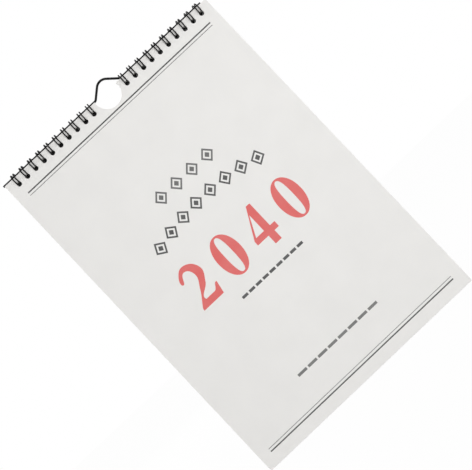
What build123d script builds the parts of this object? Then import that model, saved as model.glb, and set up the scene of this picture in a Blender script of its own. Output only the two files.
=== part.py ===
from build123d import *
import os
from math import asin, atan2, cos, degrees, hypot, radians, sin, sqrt, tan

# A hanging wall calendar on twin-loop wire. X is its width, Z points up and the front faces -Y.
# The origin is where the nail carries it: the underside of the hanger's crown, in the wire's mid-plane.

# Hanger wire
hanger_wire = 1.8
bump_height = 8.7
bump_foot_half_width = 12.6
bump_crown_radius = 7.1
bump_foot_radius = 3.0
left_arm_overhang = 1.5
right_arm_shortfall = 4.0
hanger_sideways_slip = 3.0

# Twin-loop wires
loop_wire = 1.0
loop_outer_diameter = 10.7
strand_spacing = 2.2
loop_pitch = 8.467
loops_left_out = 3
wire_bend = 0.5
wire_stub = 1.6
arm_setback = 1.2
arm_clearance = 0.18
loop_facets = 16
wire_section_sides = 6
seam_angle = 50

# Sheets
sheet_width = 205.0
sheet_height = 289.0
cover_thickness = 0.25
month_sheets_thickness = 2.1
backing_thickness = 0.7
cover_clearance = 0.1
backing_clearance = 0.2
swing_clearance = 0.06
hole_diameter = 4.0
hole_facets = 10
hole_side_margin = 9.0
hole_edge_distance = 6.0
hole_below_loop = 0.65
notch_radius = 11.0
notch_centre_drop = 2.0

# Print on the front cover
ink_thickness = 0.05
rule_inset = 9.5
rule_wide = 1.0
rule_narrow = 0.4
rule_gap = 1.8
top_rule_drop = 15.5
bottom_rule_rise = 10.5
mark_width = 11.6
mark_height = 12.6
mark_stroke = 2.6
short_row_gap = 4.0
short_row_count = 4
short_above_arch = 20.5
arch_row_gap = 2.7
arch_row_count = 8
arch_radius = 180.0
arch_above_number = 45.2
digit_width = 21.8
digit_height = 35.2
digit_stroke = 6.4
digit_corner = 6.0
digit_gap = 9.2
digit_count = 4
number_rise = 137.4
dash_height = 2.2
dash_gap = 1.6
upper_dash_length = 61.0
upper_dash_count = 9
dashes_below_number = 11.5
lower_dash_length = 80.0
lower_dash_rise = 37.1
lower_dash_count = 8

# The hanger's arms, which have slipped sideways, and the centre of the loops that hang on them
left_arm_length = sheet_width / 2 + hanger_sideways_slip + left_arm_overhang
right_arm_length = sheet_width / 2 - hanger_sideways_slip - right_arm_shortfall
arm_z = hanger_wire / 2 - bump_height
loop_radius = (loop_outer_diameter - loop_wire) / 2
arm_reach = loop_radius - (loop_wire + hanger_wire) / 2 - arm_clearance
loop_y = -arm_setback
loop_z = arm_z - sqrt(arm_reach**2 - arm_setback**2)

# The stack of sheets, from its back to its front
backing_back = -(hanger_wire / 2 + backing_clearance)
backing_front = backing_back - backing_thickness
month_front = backing_front - month_sheets_thickness
cover_back = month_front - cover_clearance
cover_front = cover_back - cover_thickness

# The holes hang on the loops where these pass through the cover
loop_crossing_z = loop_z - sqrt(loop_radius**2 - (cover_front - loop_y) ** 2)
hole_z = loop_crossing_z - hole_below_loop
top_z = hole_z + hole_edge_distance
bottom_z = top_z - sheet_height
sheet_x = -hanger_sideways_slip
forwards = (0, -1, 0)

# As many loops as the width has room for, on each side of the gap at the notch
first_loop_x = loop_pitch / 2 + loop_pitch * loops_left_out / 2
loops_per_wire = int((sheet_width / 2 - hole_side_margin - first_loop_x) / loop_pitch) + 1
wire_length = (loops_per_wire - 1) * loop_pitch

# The heading stands on the number, and the upper dashes hang under it
digit_pitch = digit_width + digit_gap
arch_row_pitch = mark_width + arch_row_gap
arch_row_rise = number_rise + arch_above_number
short_row_pitch = mark_width + short_row_gap
short_row_rise = arch_row_rise + short_above_arch
upper_dash_rise = number_rise - digit_height / 2 - dashes_below_number - dash_height / 2


def front_plane(y):
    """A drawing plane at depth y, seen from the front: X to the right and Z up."""
    return Plane.XZ.offset(-y)


def hanger_path():
    """The hanger's centreline: an arm, a bump with a rounded crown, and the other arm."""
    crown_centre_rise = bump_height - bump_crown_radius
    foot_distance = hypot(bump_foot_half_width, crown_centre_rise)
    flank_slope = atan2(crown_centre_rise, bump_foot_half_width) + asin(bump_crown_radius / foot_distance)
    corner_z = arm_z + bump_foot_half_width * tan(flank_slope)
    FilletPolyline(
        (-left_arm_length, arm_z),
        (-bump_foot_half_width, arm_z),
        (0, corner_z),
        (bump_foot_half_width, arm_z),
        (right_arm_length, arm_z),
        radius=[bump_foot_radius, bump_crown_radius, bump_foot_radius],
    )


with BuildPart() as hanger:
    with BuildLine(front_plane(0)) as hanger_line:
        hanger_path()
    with BuildSketch(Plane(origin=(-left_arm_length, 0, arm_z), z_dir=(1, 0, 0))):
        Circle(hanger_wire / 2)
    sweep(path=hanger_line.line)


def loop_point(x, turn):
    """A point of a strand at x, turned from the seam: under the stack, up the front and over the top."""
    angle = radians(seam_angle - turn)
    corner_radius = loop_radius / sqrt(cos(radians(180 / loop_facets)))
    return Vector(x, loop_y + corner_radius * sin(angle), loop_z - corner_radius * cos(angle))


def eased(points):
    """The same path with each sideways corner cut off, as the wire bends there."""
    path = [points[0]]
    for before, here, after in zip(points, points[1:], points[2:]):
        arrive = here - before
        leave = after - here
        if arrive.get_angle(leave) > 60:
            path.append(here - arrive.normalized() * wire_bend)
            path.append(here + leave.normalized() * wire_bend)
        else:
            path.append(here)
    return path + [points[-1]]


def twin_loop_path(first_x):
    """One formed wire: stub, then up one strand, across the tip and back down the other, loop by loop."""
    step = 360 / loop_facets
    turns = [step * i for i in range(loop_facets)]
    points = []
    for i in range(loops_per_wire):
        left_strand = first_x + i * loop_pitch - strand_spacing / 2
        right_strand = left_strand + strand_spacing
        points += [loop_point(left_strand, turn) for turn in turns]
        points += [loop_point(right_strand, turn) for turn in reversed(turns)]
    start = points[0] - Vector(wire_stub, 0, 0)
    end = points[-1] + Vector(wire_stub, 0, 0)
    return eased([start] + points + [end])


def formed_wire(first_x):
    """A twin-loop wire, swept with mitred bends."""
    points = twin_loop_path(first_x)
    with BuildPart() as wire:
        with BuildLine() as run:
            Polyline(*points)
        with BuildSketch(Plane(origin=points[0], z_dir=(1, 0, 0))):
            RegularPolygon(loop_wire / 2, wire_section_sides)
        sweep(path=run.line, transition=Transition.RIGHT)
    return wire


left_loop_wire = formed_wire(sheet_x - first_loop_x - wire_length)
right_loop_wire = formed_wire(sheet_x + first_loop_x)


def punched_outline(y):
    """A sheet's outline at depth y, with two rows of holes and a thumb notch in its top edge."""
    row_middle = first_loop_x + wire_length / 2
    notch_width = 2 * sqrt(notch_radius**2 - notch_centre_drop**2)
    with BuildSketch(front_plane(y)) as outline:
        with Locations((sheet_x, bottom_z)):
            Rectangle(sheet_width, sheet_height, align=(Align.CENTER, Align.MIN))
        with Locations((sheet_x, top_z)):
            Rectangle(notch_width, notch_centre_drop, align=(Align.CENTER, Align.MAX), mode=Mode.SUBTRACT)
        with Locations((sheet_x, top_z - notch_centre_drop)):
            Circle(notch_radius, mode=Mode.SUBTRACT)
        with Locations((sheet_x - row_middle, hole_z), (sheet_x + row_middle, hole_z)):
            with GridLocations(loop_pitch, loop_pitch, loops_per_wire, 1):
                RegularPolygon(hole_diameter / 2, hole_facets, major_radius=False, mode=Mode.SUBTRACT)
    return outline.sketch


with BuildPart() as backing_card:
    extrude(punched_outline(backing_back), amount=backing_thickness, dir=forwards)

with BuildPart() as front_cover:
    extrude(punched_outline(cover_back), amount=cover_thickness, dir=forwards)

# The top strip of the turning cover dips back over the month sheets, so these fan back at their top edge.
strip_above_loops = top_z - loop_z
swing_radius = loop_y - cover_back - swing_clearance
month_reach = loop_y - month_front
fan_depth = month_reach - sqrt(swing_radius**2 - strip_above_loops**2)
fan_height = strip_above_loops - sqrt(swing_radius**2 - month_reach**2)

with BuildPart() as month_sheets:
    extrude(punched_outline(backing_front), amount=month_sheets_thickness, dir=forwards)
    with BuildSketch(Plane.YZ.offset(sheet_x - sheet_width / 2)):
        Polygon(
            (month_front, top_z - fan_height),
            (month_front + fan_depth, top_z),
            (month_front, top_z),
            align=None,
        )
    extrude(amount=sheet_width, mode=Mode.SUBTRACT)


def lozenge(width, height, mode=Mode.ADD):
    """An upright lozenge about the current location."""
    Polygon((-width / 2, 0), (0, -height / 2), (width / 2, 0), (0, height / 2), mode=mode)


def lozenge_mark():
    """A hollow lozenge with a small solid one at its heart."""
    side = hypot(mark_width, mark_height)
    inset = mark_stroke * side / mark_height
    inset_up = mark_stroke * side / mark_width
    with BuildSketch() as mark:
        lozenge(mark_width, mark_height)
        lozenge(mark_width - inset, mark_height - inset_up, mode=Mode.SUBTRACT)
        lozenge(mark_width - 2 * inset, mark_height - 2 * inset_up)
    return mark.sketch


def hollow_block():
    """An upright block with clipped corners and an open middle, as wide and tall as a bold numeral."""
    with BuildSketch() as block:
        Rectangle(digit_width, digit_height)
        chamfer(block.vertices(), digit_corner)
        Rectangle(digit_width - 2 * digit_stroke, digit_height - 2 * digit_stroke, mode=Mode.SUBTRACT)
    return block.sketch


def dash_row(length, count):
    """A row of equal dashes that fills a length."""
    pitch = (length + dash_gap) / count
    with GridLocations(pitch, pitch, count, 1):
        Rectangle(pitch - dash_gap, dash_height)


with BuildPart() as printed_rules:
    rule_length = sheet_width - 2 * rule_inset
    with BuildSketch(front_plane(cover_front)):
        with Locations((sheet_x, top_z - top_rule_drop)):
            Rectangle(rule_length, rule_wide)
        with Locations((sheet_x, top_z - top_rule_drop - rule_gap - (rule_wide + rule_narrow) / 2)):
            Rectangle(rule_length, rule_narrow)
        with Locations((sheet_x, bottom_z + bottom_rule_rise)):
            Rectangle(rule_length, rule_wide)
        with Locations((sheet_x, bottom_z + bottom_rule_rise + rule_gap + (rule_wide + rule_narrow) / 2)):
            Rectangle(rule_length, rule_narrow)
    extrude(amount=ink_thickness)

with BuildPart() as printed_heading:
    mark = lozenge_mark()
    with BuildSketch(front_plane(cover_front)):
        with Locations((sheet_x, bottom_z + short_row_rise)):
            with GridLocations(short_row_pitch, short_row_pitch, short_row_count, 1):
                add(mark)
        arch_step = degrees(arch_row_pitch / arch_radius)
        for i in range(arch_row_count):
            turn = arch_step * ((arch_row_count - 1) / 2 - i)
            mark_x = sheet_x - arch_radius * sin(radians(turn))
            mark_z = bottom_z + arch_row_rise - arch_radius * (1 - cos(radians(turn)))
            with Locations(Location((mark_x, mark_z), turn)):
                add(mark)
    extrude(amount=ink_thickness)

with BuildPart() as printed_number:
    block = hollow_block()
    with BuildSketch(front_plane(cover_front)):
        with Locations((sheet_x, bottom_z + number_rise)):
            with GridLocations(digit_pitch, digit_pitch, digit_count, 1):
                add(block)
    extrude(amount=ink_thickness)

with BuildPart() as printed_dashes:
    with BuildSketch(front_plane(cover_front)):
        with Locations((sheet_x, bottom_z + upper_dash_rise)):
            dash_row(upper_dash_length, upper_dash_count)
        with Locations((sheet_x, bottom_z + lower_dash_rise)):
            dash_row(lower_dash_length, lower_dash_count)
    extrude(amount=ink_thickness)

pieces = {
    "hanger": hanger,
    "left_loop_wire": left_loop_wire,
    "right_loop_wire": right_loop_wire,
    "backing_card": backing_card,
    "month_sheets": month_sheets,
    "front_cover": front_cover,
    "printed_rules": printed_rules,
    "printed_heading": printed_heading,
    "printed_number": printed_number,
    "printed_dashes": printed_dashes,
}

os.makedirs("parts", exist_ok=True)
for name, piece in pieces.items():
    piece.part.label = name
    export_step(piece.part, f"parts/{name}.step")
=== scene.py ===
"""Dresses the wall calendar: punched sheets, twin-loop wires, a bent hanger and plain print."""
from math import acos, asin, atan2, cos, hypot, pi, radians, sin, sqrt, tan
from random import Random

import bmesh
import bpy
from bpy.props import (
    FloatProperty,
    FloatVectorProperty,
    IntProperty,
    PointerProperty,
    StringProperty,
)
from mathutils import Matrix, Vector


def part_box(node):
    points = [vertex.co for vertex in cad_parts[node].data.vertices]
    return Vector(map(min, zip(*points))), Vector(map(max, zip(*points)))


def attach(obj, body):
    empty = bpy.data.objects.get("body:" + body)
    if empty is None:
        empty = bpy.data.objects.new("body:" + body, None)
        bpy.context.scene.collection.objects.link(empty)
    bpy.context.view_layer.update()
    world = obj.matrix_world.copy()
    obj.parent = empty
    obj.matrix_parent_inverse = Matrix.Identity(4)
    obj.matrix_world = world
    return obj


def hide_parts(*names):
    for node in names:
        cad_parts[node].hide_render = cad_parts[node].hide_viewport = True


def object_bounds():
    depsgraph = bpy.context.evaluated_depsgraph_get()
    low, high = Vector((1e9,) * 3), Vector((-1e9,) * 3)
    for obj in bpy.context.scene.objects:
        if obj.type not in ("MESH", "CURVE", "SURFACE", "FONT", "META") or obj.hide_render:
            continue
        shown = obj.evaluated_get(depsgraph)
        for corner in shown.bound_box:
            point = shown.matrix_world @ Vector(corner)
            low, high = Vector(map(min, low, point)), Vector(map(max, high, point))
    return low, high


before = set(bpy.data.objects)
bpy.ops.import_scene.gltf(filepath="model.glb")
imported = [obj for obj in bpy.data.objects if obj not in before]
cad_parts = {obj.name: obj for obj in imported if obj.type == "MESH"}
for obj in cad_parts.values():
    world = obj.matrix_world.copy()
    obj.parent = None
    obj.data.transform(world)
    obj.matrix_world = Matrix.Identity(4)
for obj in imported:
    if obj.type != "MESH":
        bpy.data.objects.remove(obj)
cad_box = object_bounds()

bl_info = {
    "name": "Wall Calendar",
    "version": (1, 0, 0),
    "blender": (4, 5, 0),
    "location": "3D View > Sidebar > Calendar",
    "description": "Sheets, twin-loop wires, hanger, print and studio of a hanging wall calendar",
    "category": "Add Mesh",
}

MM = 0.001

# How finely round shapes are divided, shaded and welded
COVER_HOLE_STEPS = 36
LEAF_HOLE_STEPS = 20
CARD_HOLE_STEPS = 32
LOOP_SIDES = 12
LOOP_BEND_STEPS = 7
LOOP_STEP = 0.7 * MM
HANGER_SIDES = 20
HANGER_BEND_STEPS = 16
HANGER_STEP = 4 * MM
NUMERAL_STEPS = 24
SMOOTH_ANGLE = radians(50)
WIRE_WELD = 0.0001 * MM
NUMERAL_WELD = 0.001 * MM

# A loop's tip is bent almost to a half circle, by this share of half the strand spacing
TIP_BEND_SHARE = 0.98

# The first number that the leaves' unevenness is drawn from
LEAF_SEED = 12

# Roughness of the two papers
COVER_ROUGHNESS = 0.55
LEAF_ROUGHNESS = 0.7

# Where most of a noise's values lie, and where its rarer peaks do
NOISE_BULK = (0.3, 0.7)
NOISE_PEAKS = (0.62, 0.8)

# The studio: the floor, the camera's reach, the painted shade behind the holes, and each lamp's width and
# place
FLOOR_HALF_SIZE = 3
FLOOR_GLOW = 0.98
SENSOR_WIDTH = 36
CLIP_NEAR = 0.01
CLIP_FAR = 20
SHADE_REACH = 60 * MM
SHADE_BAND = (0.24, 0.42)
KEY_WIDTH = 1.0
KEY_PLACE = (0.14, -1.25, -0.2)
FILL_WIDTH = 0.8
FILL_PLACE = (0.95, -0.7, 0.3)
BACK_WIDTH = 0.9
BACK_PLACE = (-0.5, 1.2, 0.25)

# Places that follow from the frame
cover_low, cover_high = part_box("front_cover")
leaves_low, leaves_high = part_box("month_sheets")
card_low, card_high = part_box("backing_card")
left_wire_low, left_wire_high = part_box("left_loop_wire")
right_wire_low, right_wire_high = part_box("right_loop_wire")
hanger_low, hanger_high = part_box("hanger")
number_low, number_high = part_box("printed_number")
sheet_x = (cover_low.x + cover_high.x) / 2
sheet_top = cover_high.z
cover_front = cover_low.y
loop_centre = (left_wire_low + left_wire_high) / 2
row_middles = ((left_wire_low.x + left_wire_high.x) / 2, (right_wire_low.x + right_wire_high.x) / 2)


def length(name, description, default):
    """A size in metres, shown with its unit."""
    return FloatProperty(
        name=name, description=description, default=default, unit="LENGTH", subtype="DISTANCE", precision=5
    )


def angle(name, description, default):
    """An angle, shown in degrees."""
    return FloatProperty(name=name, description=description, default=default, subtype="ANGLE")


def power(name, description, default):
    """A lamp's power."""
    return FloatProperty(name=name, description=description, default=default, subtype="POWER")


def colour(name, description, default):
    """A colour that a user picks."""
    return FloatVectorProperty(
        name=name, description=description, default=default, subtype="COLOR", size=3, min=0, max=1
    )


class SheetSettings(bpy.types.PropertyGroup):
    """Sizes and colours of the punched sheets."""

    hole_diameter: length("Hole diameter", "Width of a punched hole", 4.0 * MM)
    hole_drop: length("Hole drop", "From the top edge down to a hole's centre", 6.0 * MM)
    notch_radius: length("Notch radius", "Radius of the thumb notch", 11.0 * MM)
    notch_drop: length("Notch drop", "From the top edge down to the notch's centre", 2.0 * MM)
    leaf_count: IntProperty(name="Leaves", description="Month leaves behind the cover", default=12, min=2)
    leaf_gap: length("Leaf gap", "Air between two leaves", 0.03 * MM)
    leaf_stagger: length("Leaf stagger", "How far a leaf's edges may fall short of the block's", 0.16 * MM)
    fan_depth: length("Fan depth", "How deep the leaves' tops fan back", 0.461 * MM)
    fan_height: length("Fan height", "How far the first leaf's top falls short", 1.113 * MM)
    cover_colour: colour("Cover", "Colour of the coated cover paper", (0.845, 0.835, 0.815))
    leaf_colour: colour("Leaves", "Colour of the month leaves", (0.83, 0.825, 0.80))
    card_colour: colour("Card", "Colour of the backing card", (0.56, 0.53, 0.48))


class WireSettings(bpy.types.PropertyGroup):
    """Sizes and finish of the loops and the hanger."""

    loop_wire: length("Loop wire", "Thickness of the loops' wire", 1.0 * MM)
    loop_count: IntProperty(name="Loops", description="Loops on each wire", default=10, min=1)
    loop_pitch: length("Loop pitch", "From one loop to the next", 8.467 * MM)
    strand_spacing: length("Strand spacing", "Between the two strands of a loop", 2.2 * MM)
    root_bend: length("Root bend", "Radius of the wire's bend between two loops", 0.7 * MM)
    wire_stub: length("Wire stub", "Straight end past the outermost strand", 1.6 * MM)
    loop_open: angle("Loop opening", "Angle left open at a loop's tip", radians(22.5))
    seam_angle: angle("Seam angle", "Where the loops' seam lies, from straight down", radians(50))
    hanger_wire: length("Hanger wire", "Thickness of the hanger's wire", 1.8 * MM)
    bump_foot: length("Bump foot", "Half the width of the hanger's bump", 12.6 * MM)
    crown_radius: length("Crown radius", "Bend of the wire over the nail", 7.1 * MM)
    foot_radius: length("Foot radius", "Bend of the wire at the bump's feet", 3.0 * MM)
    wire_colour: colour("Wire", "Colour of the nylon coat on the wires", (0.006, 0.006, 0.0065))


class PrintSettings(bpy.types.PropertyGroup):
    """Colours of the ink on the cover."""

    dark: colour("Dark ink", "Ink of the top rules", (0.035, 0.035, 0.035))
    soft: colour("Soft ink", "Ink of the low rules, arched marks and upper dashes", (0.07, 0.07, 0.07))
    grey: colour("Grey ink", "Ink of the straight row of marks", (0.13, 0.13, 0.128))
    pale: colour("Pale ink", "Ink of the lower dashes", (0.18, 0.18, 0.175))
    red: colour("Red ink", "Ink of the number", (0.735, 0.128, 0.12))
    number: StringProperty(name="Number", description="Plain number, of figures 0, 2 and 4", default="2040")
    figure_gap: length("Figure gap", "Between two numerals", 9.2 * MM)


class StageSettings(bpy.types.PropertyGroup):
    """Camera, floor and light."""

    distance: length("Camera distance", "From the cover to the camera", 500 * MM)
    foot_across: length("Foot across", "From the sheet's middle to the camera's foot, across", -8.17 * MM)
    foot_down: length("Foot down", "From the top edge down to the camera's foot", 150.75 * MM)
    roll: angle("Roll", "Turn of the camera about its view", radians(43.3438))
    tilt: angle("Tilt", "Upward tilt of the view", radians(1.0243))
    pan: angle("Pan", "Turn of the view to the right", radians(0.011))
    lens: FloatProperty(name="Lens", description="Focal length in millimetres", default=51.32)
    floor_drop: length("Floor drop", "From the lowest point of the calendar to the floor", 120 * MM)
    shade_gap: length("Shade gap", "From the card's back to the shaded strips", 0.3 * MM)
    shade_margin: length("Shade margin", "How far a shaded strip reaches past the holes", 0.4 * MM)
    paper_white: colour("Studio white", "Colour of the floor", (0.82, 0.82, 0.82))
    ambient: FloatProperty(name="Ambient", description="Strength of the even light", default=0.44)
    key_power: power("Key", "Power of the large lamp", 9.3)
    fill_power: power("Fill", "Power of the side lamp", 2.0)
    back_power: power("Back", "Power of the lamp behind", 5.0)


class CalendarSettings(bpy.types.PropertyGroup):
    """Everything that a user may change."""

    sheets: PointerProperty(type=SheetSettings, name="Sheets", description="The punched sheets")
    wires: PointerProperty(type=WireSettings, name="Wires", description="The loops and the hanger")
    ink: PointerProperty(type=PrintSettings, name="Print", description="The ink on the cover")
    stage: PointerProperty(type=StageSettings, name="Stage", description="Camera, floor and light")


# Materials

class Shading:
    """A material's node tree with short ways to add and join its nodes."""

    def __init__(self, name):
        self.material = bpy.data.materials.new(name)
        self.material.use_nodes = True
        self.nodes = self.material.node_tree.nodes
        self.links = self.material.node_tree.links
        self.shader = self.nodes["Principled BSDF"]
        self.place = self.nodes.new("ShaderNodeTexCoord").outputs["Object"]

    def stretched(self, scale):
        """The object's own coordinates, stretched by scale."""
        mapping = self.nodes.new("ShaderNodeMapping")
        mapping.inputs["Scale"].default_value = scale
        self.links.new(self.place, mapping.inputs["Vector"])
        return mapping.outputs["Vector"]

    def noise(self, grain, detail=3.0, roughness=0.5, place=None):
        """A noise whose lumps measure about grain metres."""
        node = self.nodes.new("ShaderNodeTexNoise")
        node.inputs["Scale"].default_value = 1 / grain
        node.inputs["Detail"].default_value = detail
        node.inputs["Roughness"].default_value = roughness
        self.links.new(place or self.place, node.inputs["Vector"])
        return node.outputs["Fac"]

    def spread(self, value, low, high, new_low=0.0, new_high=1.0):
        """Value stretched from low..high to new_low..new_high, and held there."""
        node = self.nodes.new("ShaderNodeMapRange")
        node.inputs["From Min"].default_value = low
        node.inputs["From Max"].default_value = high
        node.inputs["To Min"].default_value = new_low
        node.inputs["To Max"].default_value = new_high
        self.links.new(value, node.inputs["Value"])
        return node.outputs["Result"]

    def mix(self, share, first, second):
        """A colour between first and second, each a colour or an output."""
        node = self.nodes.new("ShaderNodeMix")
        node.data_type = "RGBA"
        # The node's colour sockets come after those for numbers and vectors
        factor, first_socket, second_socket = node.inputs[0], node.inputs[6], node.inputs[7]
        self.links.new(share, factor)
        for socket, source in ((first_socket, first), (second_socket, second)):
            if isinstance(source, bpy.types.NodeSocket):
                self.links.new(source, socket)
            else:
                socket.default_value = (*source, 1)
        return node.outputs[2]

    def bump(self, height, depth, strength=1.0, normal=None):
        """A bump of depth metres, which may lie over another."""
        node = self.nodes.new("ShaderNodeBump")
        node.inputs["Strength"].default_value = strength
        node.inputs["Distance"].default_value = depth
        self.links.new(height, node.inputs["Height"])
        if normal:
            self.links.new(normal, node.inputs["Normal"])
        return node.outputs["Normal"]

    def wear(self, colour=None, roughness=None, normal=None):
        """Gives the shader its inputs."""
        for name, source in (("Base Color", colour), ("Roughness", roughness), ("Normal", normal)):
            if source:
                self.links.new(source, self.shader.inputs[name])
        return self.material


def shade(tone, share):
    """Tone made lighter or darker by a share."""
    return tuple(min(1.0, part * share) for part in tone)


def paper_material(name, tone, roughness):
    """Smooth wood-free paper: faint clouds in its tone, fibres and a soft sheen."""
    cloud_size = 24 * MM
    cloud_depth = 0.05 * MM
    fibre_size = 0.35 * MM
    fibre_depth = 0.006 * MM
    roughness_change = 0.06
    paper = Shading(name)
    clouds = paper.noise(cloud_size, detail=4)
    fibres = paper.noise(fibre_size, detail=6, roughness=0.7)
    cloudy = paper.mix(paper.spread(clouds, *NOISE_BULK), shade(tone, 0.985), shade(tone, 1.012))
    flecks = paper.mix(paper.spread(fibres, *NOISE_PEAKS, 0, 0.5), cloudy, shade(tone, 0.93))
    rough = paper.spread(fibres, *NOISE_BULK, roughness - roughness_change, roughness + roughness_change)
    relief = paper.bump(fibres, fibre_depth, 0.5)
    relief = paper.bump(clouds, cloud_depth, 0.5, relief)
    paper.shader.inputs["Specular IOR Level"].default_value = 0.4
    return paper.wear(flecks, rough, relief)


def card_material(name, tone):
    """Grey board made of mixed waste fibres: a faintly cloudy ground with darker flecks."""
    pulp_size = 3 * MM
    fibre_size = 0.5 * MM
    fibre_depth = 0.02 * MM
    fibre_stretch = (1, 1, 1.6)
    fleck_band = (0.6, 0.78)
    card = Shading(name)
    pulp = card.noise(pulp_size, detail=6, roughness=0.65)
    fibres = card.noise(fibre_size, detail=6, roughness=0.75, place=card.stretched(fibre_stretch))
    ground = card.mix(card.spread(pulp, *NOISE_BULK), shade(tone, 0.95), shade(tone, 1.05))
    flecked = card.mix(card.spread(fibres, *fleck_band), ground, shade(tone, 0.62))
    rough = card.spread(pulp, *NOISE_BULK, 0.82, 0.92)
    relief = card.bump(fibres, fibre_depth, 0.6)
    card.shader.inputs["Specular IOR Level"].default_value = 0.25
    return card.wear(flecked, rough, relief)


def ink_material(name, low_tone, high_tone, border, paper_tone):
    """Offset ink, of one tone below the border's height and one above, with pinholes down to the paper."""
    grain_size = 0.22 * MM
    grain_depth = 0.004 * MM
    density_size = 9 * MM
    border_blur = 0.1 * MM
    ink = Shading(name)
    grain = ink.noise(grain_size, detail=5, roughness=0.7)
    density = ink.noise(density_size, detail=2)
    axes = ink.nodes.new("ShaderNodeSeparateXYZ")
    ink.links.new(ink.place, axes.inputs["Vector"])
    above = ink.spread(axes.outputs["Z"], border - border_blur, border + border_blur)
    tone = ink.mix(above, low_tone, high_tone)
    thin_places = ink.spread(density, *NOISE_BULK, 0, 0.04)
    body = ink.mix(thin_places, tone, paper_tone)
    pinholes = ink.mix(ink.spread(grain, *NOISE_PEAKS, 0, 0.45), body, paper_tone)
    rough = ink.spread(grain, *NOISE_BULK, 0.42, 0.58)
    relief = ink.bump(grain, grain_depth, 0.5)
    ink.shader.inputs["Specular IOR Level"].default_value = 0.35
    return ink.wear(pinholes, rough, relief)


def wire_material(name, tone):
    """Nylon-coated wire: a black satin skin with a fine orange peel and rubbed patches."""
    peel_size = 0.6 * MM
    peel_depth = 0.012 * MM
    rub_size = 2.5 * MM
    rub_band = (0.45, 0.75)
    wire = Shading(name)
    peel = wire.noise(peel_size, detail=4)
    rubbed = wire.noise(rub_size, detail=5, roughness=0.6)
    skin = wire.mix(wire.spread(rubbed, *rub_band), tone, shade(tone, 2.6))
    rough = wire.spread(rubbed, *NOISE_BULK, 0.34, 0.48)
    relief = wire.bump(peel, peel_depth, 0.4)
    wire.shader.inputs["Specular IOR Level"].default_value = 0.09
    return wire.wear(skin, rough, relief)


# Objects and meshes

def new_object(name, data):
    """Puts a mesh, a curve, a lamp or a camera into the scene."""
    holder = bpy.data.objects.new(name, data)
    bpy.context.scene.collection.objects.link(holder)
    return holder


def mesh_object(name, maker, material):
    """Turns a bmesh into an object of one material."""
    mesh = bpy.data.meshes.new(name)
    maker.to_mesh(mesh)
    maker.free()
    mesh.materials.append(material)
    return new_object(name, mesh)


def meshed(curve, weld):
    """Turns a curve into a bmesh and joins its points that lie closer than weld."""
    holder = new_object(curve.name, curve)
    mesh = bpy.data.meshes.new_from_object(holder, depsgraph=bpy.context.evaluated_depsgraph_get())
    bpy.data.objects.remove(holder)
    bpy.data.curves.remove(curve)
    maker = bmesh.new()
    maker.from_mesh(mesh)
    bpy.data.meshes.remove(mesh)
    bmesh.ops.remove_doubles(maker, verts=maker.verts, dist=weld)
    return maker


def finish_piece(name, maker, material, body, slot, *nodes, smooth_angle=None):
    """Turns a bmesh into a finished object that rides on its body and stands for its CAD nodes."""
    bmesh.ops.recalc_face_normals(maker, faces=maker.faces)
    piece = mesh_object(name, maker, material)
    if smooth_angle is not None:
        piece.data.shade_smooth()
        piece.data.set_sharp_from_angle(angle=smooth_angle)
    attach(piece, body)
    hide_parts(*nodes)


def punched_sheet(maker, low, high, hole_steps):
    """Adds one sheet between two corners: its notched outline, its two rows of holes and its thickness."""
    sheets = bpy.context.scene.calendar.sheets
    wires = bpy.context.scene.calendar.wires
    front = low.y
    notch_centre = Vector((sheet_x, front, sheet_top - sheets.notch_drop))
    rise = high.z - notch_centre.z
    half_notch = sqrt(sheets.notch_radius**2 - rise**2)
    sweep_angle = pi + 2 * asin(rise / sheets.notch_radius)
    notch_steps = 2 * hole_steps
    start = maker.verts.new((sheet_x - half_notch, front, high.z))
    notch = bmesh.ops.spin(
        maker, geom=[start], cent=notch_centre, axis=(0, -1, 0), angle=sweep_angle, steps=notch_steps,
        use_merge=False, use_duplicate=False,
    )
    end = next(item for item in notch["geom_last"] if isinstance(item, bmesh.types.BMVert))
    corners = [(high.x, high.z), (high.x, low.z), (low.x, low.z), (low.x, high.z)]
    chain = [end] + [maker.verts.new((x, front, z)) for x, z in corners] + [start]
    for here, after in zip(chain, chain[1:]):
        maker.edges.new((here, after))
    facing = Matrix.Rotation(pi / 2, 4, "X")
    for row_middle in row_middles:
        for i in range(wires.loop_count):
            x = row_middle + (i - (wires.loop_count - 1) / 2) * wires.loop_pitch
            place = Matrix.Translation((x, front, sheet_top - sheets.hole_drop))
            bmesh.ops.create_circle(
                maker, cap_ends=False, segments=hole_steps, radius=sheets.hole_diameter / 2,
                matrix=place @ facing,
            )
    fresh = [edge for edge in maker.edges if not edge.link_faces]
    filled = bmesh.ops.triangle_fill(maker, use_beauty=True, use_dissolve=False, edges=fresh)
    faces = [item for item in filled["geom"] if isinstance(item, bmesh.types.BMFace)]
    pushed = bmesh.ops.extrude_face_region(maker, geom=faces, use_keep_orig=True)
    moved = [item for item in pushed["geom"] if isinstance(item, bmesh.types.BMVert)]
    bmesh.ops.translate(maker, verts=moved, vec=(0, high.y - low.y, 0))


class CALENDAR_OT_cover(bpy.types.Operator):
    """Makes the front cover with round punched holes"""

    bl_idname = "calendar.cover"
    bl_label = "Front cover"

    def execute(self, context):
        tone = tuple(context.scene.calendar.sheets.cover_colour)
        maker = bmesh.new()
        punched_sheet(maker, cover_low, cover_high, COVER_HOLE_STEPS)
        paper = paper_material("coated_cover_paper", tone, COVER_ROUGHNESS)
        finish_piece("cover_sheet", maker, paper, "cover", "cover_paper", "front_cover")
        return {"FINISHED"}


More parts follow.
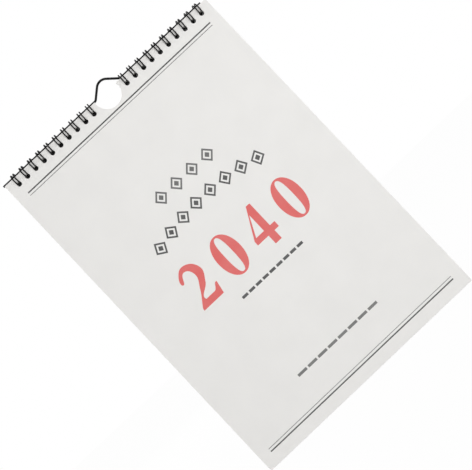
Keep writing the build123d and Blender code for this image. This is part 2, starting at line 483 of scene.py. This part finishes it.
class CALENDAR_OT_leaves(bpy.types.Operator):
    """Makes the month leaves, each a sheet of its own with edges a little out of line"""

    bl_idname = "calendar.leaves"
    bl_label = "Month leaves"

    def execute(self, context):
        sheets = context.scene.calendar.sheets
        draw = Random(LEAF_SEED)
        pitch = (leaves_high.y - leaves_low.y) / sheets.leaf_count
        maker = bmesh.new()
        for i in range(sheets.leaf_count):
            depth = i * pitch
            fan = sheets.fan_height * max(0.0, 1 - depth / sheets.fan_depth)
            left, bottom, right, top = (draw.uniform(0, sheets.leaf_stagger) for side in range(4))
            low = Vector((leaves_low.x + left, leaves_low.y + depth, leaves_low.z + bottom))
            high = Vector((
                leaves_high.x - right,
                leaves_low.y + depth + pitch - sheets.leaf_gap,
                leaves_high.z - fan - top,
            ))
            punched_sheet(maker, low, high, LEAF_HOLE_STEPS)
        paper = paper_material("leaf_paper_stock", tuple(sheets.leaf_colour), LEAF_ROUGHNESS)
        finish_piece("month_leaves", maker, paper, "block", "leaf_paper", "month_sheets")
        return {"FINISHED"}


class CALENDAR_OT_card(bpy.types.Operator):
    """Makes the grey backing card"""

    bl_idname = "calendar.card"
    bl_label = "Backing card"

    def execute(self, context):
        tone = tuple(context.scene.calendar.sheets.card_colour)
        maker = bmesh.new()
        punched_sheet(maker, card_low, card_high, CARD_HOLE_STEPS)
        board = card_material("grey_backing_board", tone)
        finish_piece("backing_board", maker, board, "block", "backing_board", "backing_card")
        return {"FINISHED"}


def round_wire(name, points, thickness, sides):
    """A round wire along points, as a bmesh with closed ends."""
    curve = bpy.data.curves.new(name, "CURVE")
    curve.dimensions = "3D"
    curve.bevel_depth = thickness / 2
    curve.bevel_resolution = sides // 2 - 2  # gives this many sides
    curve.use_fill_caps = True
    curve.twist_mode = "MINIMUM"
    spline = curve.splines.new("POLY")
    spline.points.add(len(points) - 1)
    for point, place in zip(spline.points, points):
        point.co = (*place, 1)
    return meshed(curve, WIRE_WELD)


def rounded(corners, radii, steps):
    """A run of points in a plane through corners, each rounded by an arc of its radius."""
    points = [corners[0]]
    for before, here, after, radius in zip(corners, corners[1:], corners[2:], radii):
        arrive = (here - before).normalized()
        leave = (after - here).normalized()
        turn = acos(max(-1.0, min(1.0, arrive.dot(leave))))
        side = 1 if arrive.cross(leave) > 0 else -1
        start = here - arrive * radius * tan(turn / 2)
        centre = start + Vector((-arrive.y, arrive.x)) * side * radius
        for i in range(steps + 1):
            swing = Matrix.Rotation(side * turn * i / steps, 2)
            points.append(centre + swing @ (start - centre))
    return points + [corners[-1]]


def subdivided(points, step):
    """The same run, its long stretches divided into equal steps of about that length."""
    finer = [points[0]]
    for before, here in zip(points, points[1:]):
        count = max(1, int((here - before).length / step))
        finer += [before.lerp(here, (i + 1) / count) for i in range(count)]
    return finer


def loop_run(first_x):
    """A twin-loop wire's run: drawn flat, with the way round the loops as up, and rolled into rings."""
    wires = bpy.context.scene.calendar.wires
    ring_radius = (left_wire_high.z - left_wire_low.z - wires.loop_wire) / 2
    reach = ring_radius * (2 * pi - wires.loop_open)
    corners = [Vector((first_x - wires.strand_spacing / 2 - wires.wire_stub, 0))]
    radii = []
    for i in range(wires.loop_count):
        left = first_x + i * wires.loop_pitch - wires.strand_spacing / 2
        right = left + wires.strand_spacing
        corners += [Vector((left, 0)), Vector((left, reach)), Vector((right, reach)), Vector((right, 0))]
        tip_bend = wires.strand_spacing / 2 * TIP_BEND_SHARE
        radii += [wires.root_bend, tip_bend, tip_bend, wires.root_bend]
    corners.append(Vector((corners[-1].x + wires.wire_stub, 0)))
    flat = subdivided(rounded(corners, radii, LOOP_BEND_STEPS), LOOP_STEP)
    rolled = []
    for point in flat:
        round_angle = wires.seam_angle - point.y / ring_radius
        rolled.append(Vector((
            point.x,
            loop_centre.y + ring_radius * sin(round_angle),
            loop_centre.z - ring_radius * cos(round_angle),
        )))
    return rolled


class CALENDAR_OT_loops(bpy.types.Operator):
    """Makes the two twin-loop wires, each formed from one round wire"""

    bl_idname = "calendar.loops"
    bl_label = "Twin-loop wires"

    def execute(self, context):
        wires = context.scene.calendar.wires
        skin = wire_material("black_nylon_coat", tuple(wires.wire_colour))
        half_row = (wires.loop_count - 1) / 2 * wires.loop_pitch
        for side, row_middle in zip(("left", "right"), row_middles):
            name = side + "_twin_loops"
            maker = round_wire(name, loop_run(row_middle - half_row), wires.loop_wire, LOOP_SIDES)
            finish_piece(
                name, maker, skin, "block", "loop_wire", side + "_loop_wire", smooth_angle=SMOOTH_ANGLE
            )
        return {"FINISHED"}


class CALENDAR_OT_hanger(bpy.types.Operator):
    """Makes the hanger: two arms and a bump with a rounded crown"""

    bl_idname = "calendar.hanger"
    bl_label = "Wire hanger"

    def execute(self, context):
        wires = context.scene.calendar.wires
        arm_z = hanger_low.z + wires.hanger_wire / 2
        crown_z = hanger_high.z - wires.hanger_wire / 2
        centre_rise = crown_z - arm_z - wires.crown_radius
        slope = atan2(centre_rise, wires.bump_foot)
        slope += asin(wires.crown_radius / hypot(wires.bump_foot, centre_rise))
        corners = [
            Vector((hanger_low.x, arm_z)),
            Vector((-wires.bump_foot, arm_z)),
            Vector((0, arm_z + wires.bump_foot * tan(slope))),
            Vector((wires.bump_foot, arm_z)),
            Vector((hanger_high.x, arm_z)),
        ]
        radii = [wires.foot_radius, wires.crown_radius, wires.foot_radius]
        run = rounded(corners, radii, HANGER_BEND_STEPS)
        points = [Vector((point.x, 0, point.y)) for point in subdivided(run, HANGER_STEP)]
        maker = round_wire("bent_hanger", points, wires.hanger_wire, HANGER_SIDES)
        skin = wire_material("black_hanger_coat", tuple(wires.wire_colour))
        finish_piece(
            "bent_hanger", maker, skin, "hanger", "hanger_wire", "hanger", smooth_angle=SMOOTH_ANGLE
        )
        return {"FINISHED"}


# Plain bold numerals, in shares of a numeral's width and height. An oval is its middle, its half sizes and
# how full its corners are. An outline's knots say how the line arrives and leaves: S straight, C curved.
oval_shares = {
    "0": ((0.5, 0.5, 0.5, 0.5, 0.58), (0.5, 0.5, 0.17, 0.455, 0.72)),
}
outline_shares = {
    "2": (
        ((0.0, 0.0, "SS"), (0.0, 0.035, "SC"), (0.38, 0.385, "CC"), (0.6, 0.72, "CC"),
         (0.36, 0.885, "CC"), (0.075, 0.69, "CS"), (0.03, 0.705, "SC"), (0.13, 0.89, "CC"),
         (0.46, 1.0, "CC"), (0.9, 0.75, "CC"), (0.7, 0.435, "CC"), (0.32, 0.155, "CS"),
         (0.72, 0.155, "SC"), (0.94, 0.29, "CS"), (0.99, 0.29, "SS"), (0.9, 0.0, "SS")),
    ),
    "4": (
        ((0.6, 1.0, "SS"), (0.77, 1.0, "SS"), (0.77, 0.365, "SS"), (0.98, 0.365, "SS"),
         (0.98, 0.225, "SS"), (0.77, 0.225, "SS"), (0.77, 0.0, "SS"), (0.49, 0.0, "SS"),
         (0.49, 0.225, "SS"), (0.0, 0.225, "SS"), (0.0, 0.33, "SS")),
        ((0.49, 0.365, "SS"), (0.49, 0.82, "SS"), (0.125, 0.365, "SS")),
    ),
}


def new_spline(curve, count):
    """An empty closed spline of count knots."""
    spline = curve.splines.new("BEZIER")
    spline.use_cyclic_u = True
    spline.bezier_points.add(count - 1)
    return spline


def add_numeral(curve, figure, corner, width, height):
    """Adds one numeral to a flat curve, its lower left corner at corner."""
    for across, up, half_across, half_up, fullness in oval_shares.get(figure, ()):
        spline = new_spline(curve, 4)
        for i, knot in enumerate(spline.bezier_points):
            out = Vector((cos(i * pi / 2) * half_across * width, sin(i * pi / 2) * half_up * height, 0))
            along = Vector((-sin(i * pi / 2) * half_across * width, cos(i * pi / 2) * half_up * height, 0))
            knot.co = Vector((corner.x + across * width, corner.y + up * height, 0)) + out
            knot.handle_left = knot.co - along * fullness
            knot.handle_right = knot.co + along * fullness
    handles = {"S": "VECTOR", "C": "AUTO"}
    for outline in outline_shares.get(figure, ()):
        spline = new_spline(curve, len(outline))
        for knot, (across, up, bends) in zip(spline.bezier_points, outline):
            knot.co = (corner.x + across * width, corner.y + up * height, 0)
            knot.handle_left_type = handles[bends[0]]
            knot.handle_right_type = handles[bends[1]]


class CALENDAR_OT_number(bpy.types.Operator):
    """Prints the large number in plain bold numerals of its own"""

    bl_idname = "calendar.number"
    bl_label = "Printed number"

    def execute(self, context):
        ink = context.scene.calendar.ink
        curve = bpy.data.curves.new("printed_numerals", "CURVE")
        curve.dimensions = "2D"
        curve.fill_mode = "BOTH"
        curve.resolution_u = NUMERAL_STEPS
        curve.extrude = (number_high.y - number_low.y) / 2
        pitch = (number_high.x - number_low.x + ink.figure_gap) / len(ink.number)
        for i, figure in enumerate(ink.number):
            corner = Vector((number_low.x + i * pitch, number_low.z))
            add_numeral(curve, figure, corner, pitch - ink.figure_gap, number_high.z - number_low.z)
        maker = meshed(curve, NUMERAL_WELD)
        upright = Matrix.Rotation(pi / 2, 4, "X")
        middle = Matrix.Translation((0, (number_low.y + number_high.y) / 2, 0))
        bmesh.ops.transform(maker, matrix=middle @ upright, verts=maker.verts)
        paper = tuple(context.scene.calendar.sheets.cover_colour)
        red = ink_material("red_offset_ink", tuple(ink.red), tuple(ink.red), number_low.z, paper)
        finish_piece("printed_numerals", maker, red, "cover", "red_ink", "printed_number")
        return {"FINISHED"}


class CALENDAR_OT_print(bpy.types.Operator):
    """Inks the rules, the heading's marks and the dashes"""

    bl_idname = "calendar.ink"
    bl_label = "Printed fields"

    def execute(self, context):
        ink = context.scene.calendar.ink
        paper = tuple(context.scene.calendar.sheets.cover_colour)
        fields = {
            "printed_rules": (ink.soft, ink.dark),
            "printed_heading": (ink.soft, ink.grey),
            "printed_dashes": (ink.pale, ink.soft),
        }
        for node, (low_tone, high_tone) in fields.items():
            low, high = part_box(node)
            border = (low.z + high.z) / 2
            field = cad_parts[node]
            field.data.materials.clear()
            field.data.materials.append(
                ink_material(node + "_ink", tuple(low_tone), tuple(high_tone), border, paper)
            )
        return {"FINISHED"}


# Stage

def soft_lamp(name, watts, width, place, target):
    """A square soft box that looks at a target."""
    lamp = bpy.data.lights.new(name, "AREA")
    lamp.energy = watts
    lamp.size = width
    holder = new_object(name, lamp)
    holder.location = place
    holder.rotation_euler = (Vector(target) - Vector(place)).to_track_quat("-Z", "Y").to_euler()


def blend_shaders(tree, share, first, second, output):
    """Ends a node tree in a mix of two shaders."""
    blend = tree.nodes.new("ShaderNodeMixShader")
    for socket, source in zip(blend.inputs, (share, first, second)):
        tree.links.new(source, socket)
    tree.links.new(blend.outputs[0], tree.nodes[output].inputs["Surface"])


def studio_world(ambient):
    """Even light, and plain white wherever the camera, a gloss or a glass looks past the object."""
    world = bpy.data.worlds.new("studio")
    bpy.context.scene.world = world
    world.use_nodes = True
    nodes = world.node_tree.nodes
    links = world.node_tree.links
    even = nodes["Background"]
    even.inputs["Color"].default_value = (1, 1, 1, 1)
    even.inputs["Strength"].default_value = ambient
    white = nodes.new("ShaderNodeBackground")
    white.inputs["Color"].default_value = (1, 1, 1, 1)
    white.inputs["Strength"].default_value = 1
    rays = nodes.new("ShaderNodeLightPath")
    seen = rays.outputs["Is Camera Ray"]
    for name in ("Is Glossy Ray", "Is Transmission Ray"):
        either = nodes.new("ShaderNodeMath")
        either.operation = "MAXIMUM"
        links.new(seen, either.inputs[0])
        links.new(rays.outputs[name], either.inputs[1])
        seen = either.outputs["Value"]
    blend_shaders(world.node_tree, seen, even.outputs[0], white.outputs[0], "World Output")


def floor_material(tone, glow):
    """Matte floor that the camera sees almost white, with a trace of the object's shadow on it."""
    speckle_size = 4 * MM
    floor = Shading("studio_floor")
    speckle = floor.noise(speckle_size, detail=3)
    floor.wear(floor.mix(floor.spread(speckle, *NOISE_BULK), shade(tone, 0.99), shade(tone, 1.01)))
    floor.shader.inputs["Roughness"].default_value = 0.9
    floor.shader.inputs["Specular IOR Level"].default_value = 0.1
    white = floor.nodes.new("ShaderNodeEmission")
    white.inputs["Strength"].default_value = 1
    rays = floor.nodes.new("ShaderNodeLightPath")
    share = floor.spread(rays.outputs["Is Camera Ray"], 0, 1, 0, glow)
    matte = floor.shader.outputs[0]
    blend_shaders(floor.material.node_tree, share, matte, white.outputs[0], "Material Output")
    return floor.material


def painted_shade_white():
    """A white backdrop that only the camera sees, from its front; its glow is painted shade, dimmed by
    ambient occlusion where it is covered.
    """
    wall = Shading("painted_shade_backdrop")
    open_sky = wall.nodes.new("ShaderNodeAmbientOcclusion")
    open_sky.inputs["Distance"].default_value = SHADE_REACH
    white = wall.nodes.new("ShaderNodeEmission")
    # Painted shade: the glow's strength follows ambient occlusion, not the lamps
    wall.links.new(wall.spread(open_sky.outputs["AO"], *SHADE_BAND), white.inputs["Strength"])
    rays = wall.nodes.new("ShaderNodeLightPath")
    side = wall.nodes.new("ShaderNodeNewGeometry")
    seen = wall.nodes.new("ShaderNodeMath")
    seen.operation = "SUBTRACT"
    seen.use_clamp = True
    wall.links.new(rays.outputs["Is Camera Ray"], seen.inputs[0])
    wall.links.new(side.outputs["Backfacing"], seen.inputs[1])
    clear = wall.nodes.new("ShaderNodeBsdfTransparent")
    share = seen.outputs["Value"]
    blend_shaders(wall.material.node_tree, share, clear.outputs[0], white.outputs[0], "Material Output")
    return wall.material


def stage_plane(name, half_width, half_depth, place, material):
    """A flat rectangle of the studio."""
    maker = bmesh.new()
    bmesh.ops.create_grid(maker, x_segments=1, y_segments=1, size=1)
    bmesh.ops.scale(maker, vec=(half_width, half_depth, 1), verts=maker.verts)
    bmesh.ops.transform(maker, matrix=place, verts=maker.verts)
    plane = mesh_object(name, maker, material)


def aim_camera(stage):
    """Puts the camera before the cover, rolled, tilted and panned."""
    camera = bpy.data.cameras.new("camera")
    camera.lens = stage.lens
    camera.sensor_width = SENSOR_WIDTH
    camera.clip_start = CLIP_NEAR
    camera.clip_end = CLIP_FAR
    holder = new_object("camera", camera)
    bpy.context.scene.camera = holder
    up = Vector((sin(stage.roll), 0, cos(stage.roll)))
    across = Vector((cos(stage.roll), 0, -sin(stage.roll)))
    ahead = (Vector((0, 1, 0)) + up * tan(stage.tilt) + across * tan(stage.pan)).normalized()
    across = (across - ahead * across.dot(ahead)).normalized()
    up = across.cross(ahead)
    facing = Matrix((across, up, -ahead)).transposed().to_4x4()
    place = (sheet_x + stage.foot_across, cover_front - stage.distance, sheet_top - stage.foot_down)
    holder.matrix_world = Matrix.Translation(place) @ facing


def painted_hole_shade(settings):
    """Puts a strip of painted shade, a white glow dimmed where the sheets cover it, behind each row of
    holes.
    """
    half_height = settings.sheets.hole_diameter / 2 + settings.stage.shade_margin
    half_width = (settings.wires.loop_count - 1) / 2 * settings.wires.loop_pitch + half_height
    strip_y = card_high.y + settings.stage.shade_gap
    backdrop = painted_shade_white()
    for side, row_middle in zip(("left", "right"), row_middles):
        place = (row_middle, strip_y, sheet_top - settings.sheets.hole_drop)
        upright = Matrix.Translation(place) @ Matrix.Rotation(pi / 2, 4, "X")
        stage_plane(side + "_hole_painted_shade", half_width, half_height, upright, backdrop)


class CALENDAR_OT_stage(bpy.types.Operator):
    """Makes the camera, the floor and the soft light"""

    bl_idname = "calendar.stage"
    bl_label = "Studio"

    def execute(self, context):
        settings = context.scene.calendar
        stage = settings.stage
        aim_camera(stage)
        floor = Matrix.Translation((0, 0, cad_box[0].z - stage.floor_drop))
        matte = floor_material(tuple(stage.paper_white), FLOOR_GLOW)
        stage_plane("studio_floor", FLOOR_HALF_SIZE, FLOOR_HALF_SIZE, floor, matte)
        painted_hole_shade(settings)
        middle = (sheet_x, cover_front, (cover_low.z + cover_high.z) / 2)
        soft_lamp("key_lamp", stage.key_power, KEY_WIDTH, KEY_PLACE, middle)
        soft_lamp("fill_lamp", stage.fill_power, FILL_WIDTH, FILL_PLACE, middle)
        soft_lamp("back_lamp", stage.back_power, BACK_WIDTH, BACK_PLACE, middle)
        studio_world(stage.ambient)
        context.scene.view_settings.view_transform = "Standard"
        return {"FINISHED"}


class CALENDAR_PT_panel(bpy.types.Panel):
    """Lists the calendar's operators and settings"""

    bl_idname = "CALENDAR_PT_panel"
    bl_label = "Wall Calendar"
    bl_space_type = "VIEW_3D"
    bl_region_type = "UI"
    bl_category = "Calendar"

    def draw(self, context):
        settings = context.scene.calendar
        for operator in OPERATORS:
            self.layout.operator(operator.bl_idname)
        for group in (settings.sheets, settings.wires, settings.ink, settings.stage):
            column = self.layout.column()
            for name in group.bl_rna.properties.keys():
                if name not in ("rna_type", "name"):
                    column.prop(group, name)


OPERATORS = (
    CALENDAR_OT_cover,
    CALENDAR_OT_leaves,
    CALENDAR_OT_card,
    CALENDAR_OT_loops,
    CALENDAR_OT_hanger,
    CALENDAR_OT_print,
    CALENDAR_OT_number,
    CALENDAR_OT_stage,
)
GROUPS = (SheetSettings, WireSettings, PrintSettings, StageSettings, CalendarSettings)


def register():
    """Makes the settings, the operators and the panel known to Blender."""
    for item in (*GROUPS, *OPERATORS, CALENDAR_PT_panel):
        bpy.utils.register_class(item)
    bpy.types.Scene.calendar = PointerProperty(type=CalendarSettings)


def unregister():
    """Takes them out again."""
    del bpy.types.Scene.calendar
    for item in reversed((*GROUPS, *OPERATORS, CALENDAR_PT_panel)):
        bpy.utils.unregister_class(item)


def main():
    """Makes every piece and the studio."""
    register()
    bpy.ops.calendar.cover()
    bpy.ops.calendar.leaves()
    bpy.ops.calendar.card()
    bpy.ops.calendar.loops()
    bpy.ops.calendar.hanger()
    bpy.ops.calendar.ink()
    bpy.ops.calendar.number()
    bpy.ops.calendar.stage()


if __name__ == "__main__":
    main()
